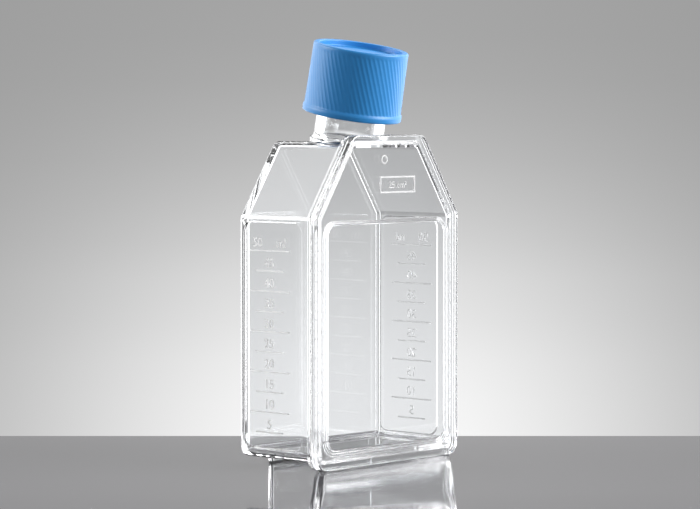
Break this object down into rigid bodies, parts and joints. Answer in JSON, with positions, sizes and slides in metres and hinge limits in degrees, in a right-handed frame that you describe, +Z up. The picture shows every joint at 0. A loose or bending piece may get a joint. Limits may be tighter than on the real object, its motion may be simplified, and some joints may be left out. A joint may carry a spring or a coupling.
{
  "type": "cell culture flask",
  "caption": "Clear upright culture flask with sloping shoulders, graduated side walls, a welded front plate, a leaning threaded neck and a blue ribbed screw cap.",
  "frame": {"origin": "middle of the footprint of the whole part, on the plane that it stands on", "axes": "+Z up along the standing flask, -Y out of the welded front plate towards which the neck leans, +Y out of the culture wall, +X across its width"},
  "size_m": [0.0454, 0.0257, 0.0911],
  "materials": {
    "clear_polystyrene": "crystal clear, moulded",
    "cap_polyethylene": "semi-gloss, moulded",
    "seal_foam": "matte"
  },
  "bodies": {
    "flask": {"flask_body": "clear_polystyrene", "front_plate": "clear_polystyrene"},
    "seal": {"cap_seal": "seal_foam"},
    "cap": {"screw_cap": "cap_polyethylene"}
  },
  "joints": [
    {"name": "cap_lift", "type": "slide", "parent": "flask", "child": "seal", "axis": [0, -0.1908, 0.9816], "range_m": [0, 0.018]},
    {"name": "cap_turn", "type": "hinge", "parent": "seal", "child": "cap", "pos_m": [0, -0.00204, 0.08564], "axis": [0, -0.1908, 0.9816], "range_deg": [0, 1080]}
  ],
  "couplings": [
    {"joint": "cap_lift", "follows": "cap_turn", "m_per_rad": 0.0009549}
  ]
}
